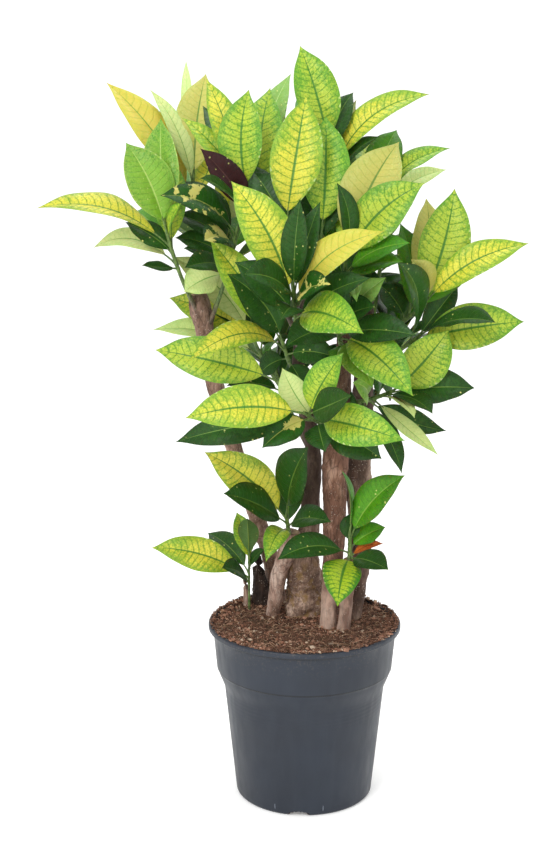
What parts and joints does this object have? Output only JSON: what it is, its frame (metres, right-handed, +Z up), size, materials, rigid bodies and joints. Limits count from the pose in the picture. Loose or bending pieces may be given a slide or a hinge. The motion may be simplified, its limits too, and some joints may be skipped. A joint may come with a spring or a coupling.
{
  "type": "potted croton",
  "caption": "Bushy large-leaved croton with several woody canes and yellow-green variegated leaves, standing in a round tapered plastic nursery pot filled with soil.",
  "frame": {"origin": "centre of the pot's flat underside", "axes": "+Z up along the pot's axis, -Y towards the plant's front, +X to the right seen from the front"},
  "size_m": [0.634, 0.5163, 1.029],
  "materials": {
    "pot_plastic": "satin slate-grey moulded plastic",
    "soil": "crumbly fibrous potting soil",
    "bark": "rough grey-brown bark",
    "leaf": "satin variegated leaf with a waxy sheen"
  },
  "bodies": {
    "root": {"pot": "pot_plastic", "soil": "soil", "cane_tall_left": "bark", "cane_short_left": "bark", "cane_middle": "bark", "cane_right_front": "bark", "cane_short_right": "bark", "cane_right_back": "bark", "stump_dark": "bark", "stump_small": "bark", "shoot_left_outer": "leaf", "shoot_left_inner": "leaf", "shoot_left_top": "leaf", "shoot_middle_left": "leaf", "shoot_front_middle": "leaf", "shoot_upper_middle": "leaf", "shoot_upper_right": "leaf", "shoot_top": "leaf", "shoot_upper_back_right": "leaf", "shoot_right_of_middle": "leaf", "shoot_right": "leaf", "shoot_right_lower": "leaf", "shoot_front_right": "leaf", "shoot_left_middle": "leaf", "shoot_left_behind": "leaf", "shoot_front_left": "leaf", "shoot_front_low": "leaf", "shoot_right_low": "leaf", "shoot_low_left": "leaf", "sprout": "leaf", "shoot_low_right": "leaf", "shoot_back_left": "leaf", "shoot_back_top": "leaf", "shoot_back_right": "leaf", "shoot_back_middle": "leaf", "shoot_back_low_left": "leaf", "shoot_back_low_right": "leaf"}
  },
  "joints": []
}
